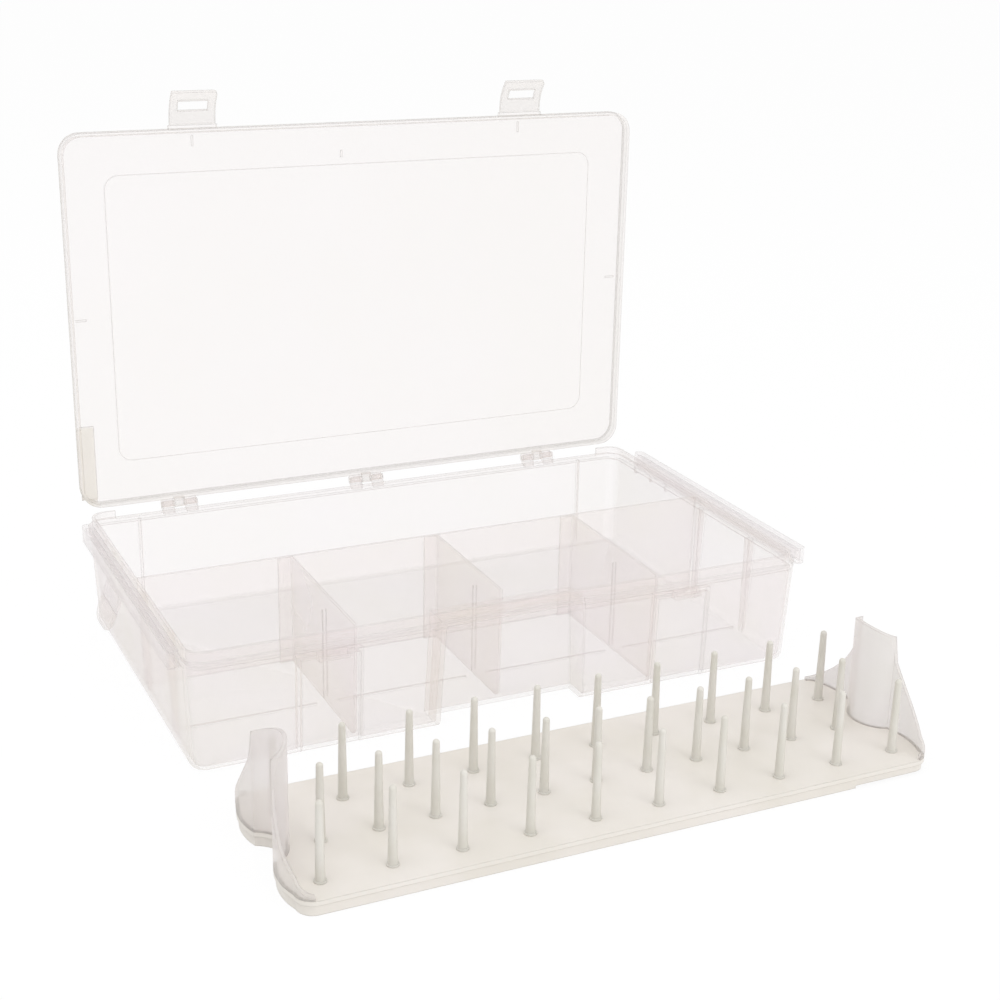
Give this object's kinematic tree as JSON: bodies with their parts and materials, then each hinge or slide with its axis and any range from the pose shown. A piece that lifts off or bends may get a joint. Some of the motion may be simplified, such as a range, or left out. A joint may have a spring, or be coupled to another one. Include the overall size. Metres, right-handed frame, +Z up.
{
  "type": "embroidery thread box",
  "caption": "Translucent hinged storage box with latches, loose dividers and a lift-out tray of pegs that hold thread spools.",
  "frame": {"origin": "middle of the tub's underside, on the table", "axes": "+X along the length, +Y from the front towards the hinges, +Z up"},
  "size_m": [0.3709, 0.3576, 0.3014],
  "materials": {
    "tub_pp": "satin moulded polypropylene",
    "rail_pp": "fine spark-textured polypropylene",
    "divider_pp": "satin moulded polypropylene",
    "lid_pp": "polished translucent polypropylene",
    "latch_pp": "satin moulded polypropylene",
    "tray_pp": "satin natural polypropylene",
    "peg_pp": "satin natural polypropylene",
    "tray_end_pp": "satin natural polypropylene"
  },
  "bodies": {
    "tub": {"tub": "tub_pp", "side_rail_left": "rail_pp", "side_rail_right": "rail_pp", "side_tab_bracket": "rail_pp", "hinge_hooks_left": "tub_pp", "hinge_hooks_middle": "tub_pp", "hinge_hooks_right": "tub_pp", "latch_catch_left": "tub_pp", "latch_catch_right": "tub_pp"},
    "side_tab": {"side_tab": "tub_pp"},
    "long_divider": {"long_divider": "divider_pp"},
    "cross_divider_left": {"cross_divider_left": "divider_pp"},
    "cross_divider_middle": {"cross_divider_middle": "divider_pp"},
    "cross_divider_right": {"cross_divider_right": "divider_pp"},
    "lid": {"lid": "lid_pp", "hinge_pin_left": "lid_pp", "hinge_pin_middle": "lid_pp", "hinge_pin_right": "lid_pp"},
    "latch_left": {"latch_left": "latch_pp"},
    "latch_right": {"latch_right": "latch_pp"},
    "tray": {"tray_plate": "tray_pp", "peg_row_back": "peg_pp", "peg_row_middle": "peg_pp", "peg_row_front": "peg_pp", "tray_end_left": "tray_end_pp", "tray_end_right": "tray_end_pp"}
  },
  "joints": [
    {"name": "lid_hinge", "type": "hinge", "parent": "tub", "child": "lid", "pos_m": [0, 0.1106, 0.0622], "axis": [1, 0, 0], "range_deg": [0, 90]},
    {"name": "latch_left_hinge", "type": "hinge", "parent": "lid", "child": "latch_left", "pos_m": [-0.1006, 0.1124, 0.283], "axis": [1, 0, 0], "range_deg": [-25, 86]},
    {"name": "latch_right_hinge", "type": "hinge", "parent": "lid", "child": "latch_right", "pos_m": [0.1006, 0.1124, 0.283], "axis": [1, 0, 0], "range_deg": [-25, 86]},
    {"name": "side_tab_hinge", "type": "hinge", "parent": "tub", "child": "side_tab", "pos_m": [-0.18445, 0.008, 0.0477], "axis": [0, 1, 0], "range_deg": [-23, 60]},
    {"name": "long_divider_lift", "type": "slide", "parent": "tub", "child": "long_divider", "axis": [0, 0, 1], "range_m": [0, 0.07]},
    {"name": "cross_divider_left_lift", "type": "slide", "parent": "tub", "child": "cross_divider_left", "axis": [0, 0, 1], "range_m": [0, 0.07]},
    {"name": "cross_divider_middle_lift", "type": "slide", "parent": "tub", "child": "cross_divider_middle", "axis": [0, 0, 1], "range_m": [0, 0.07]},
    {"name": "cross_divider_right_lift", "type": "slide", "parent": "tub", "child": "cross_divider_right", "axis": [0, 0, 1], "range_m": [0, 0.07]},
    {"name": "tray_lift", "type": "slide", "parent": "tub", "child": "tray", "axis": [0, 0, 1], "range_m": [0, 0.08]}
  ]
}
